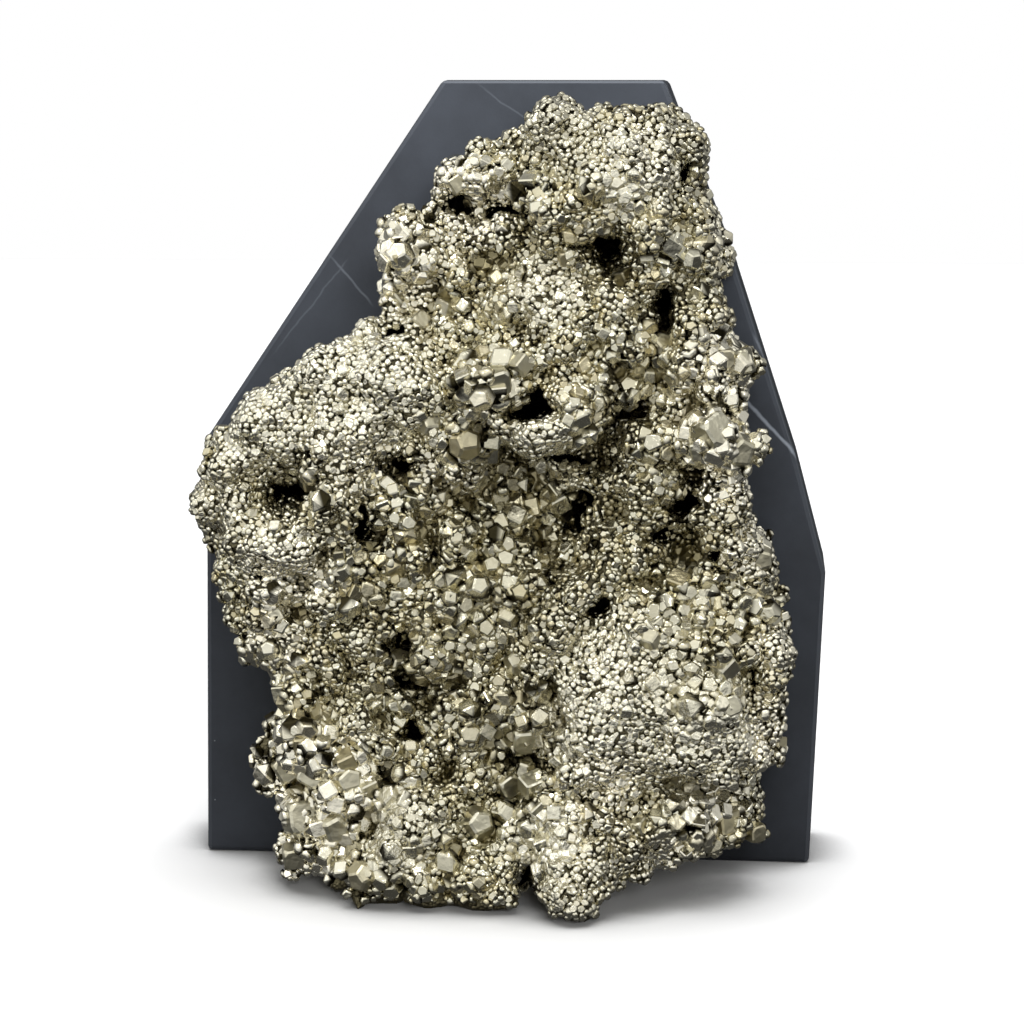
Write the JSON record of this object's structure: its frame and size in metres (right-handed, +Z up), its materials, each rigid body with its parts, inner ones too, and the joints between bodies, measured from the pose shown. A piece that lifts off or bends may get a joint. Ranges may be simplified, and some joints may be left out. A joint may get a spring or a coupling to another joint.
{
  "type": "pyrite cluster on a stone slab",
  "caption": "Mineral specimen: a druse of small metallic crystals in rounded lobes with pits and ledges, fixed to the front of an upright dark stone slab.",
  "frame": {"origin": "middle of the slab's underside, on the surface that the piece stands on", "axes": "+Z up the slab, -Y out of its front face towards the viewer, +X to the viewer's right"},
  "size_m": [0.1265, 0.0777, 0.158],
  "materials": {
    "stone": "honed charcoal stone, matte",
    "pyrite": "bright natural crystal faces, pale silvery brass"
  },
  "bodies": {
    "root": {"stone_slab": "stone", "pyrite_cluster": "pyrite"}
  },
  "joints": []
}
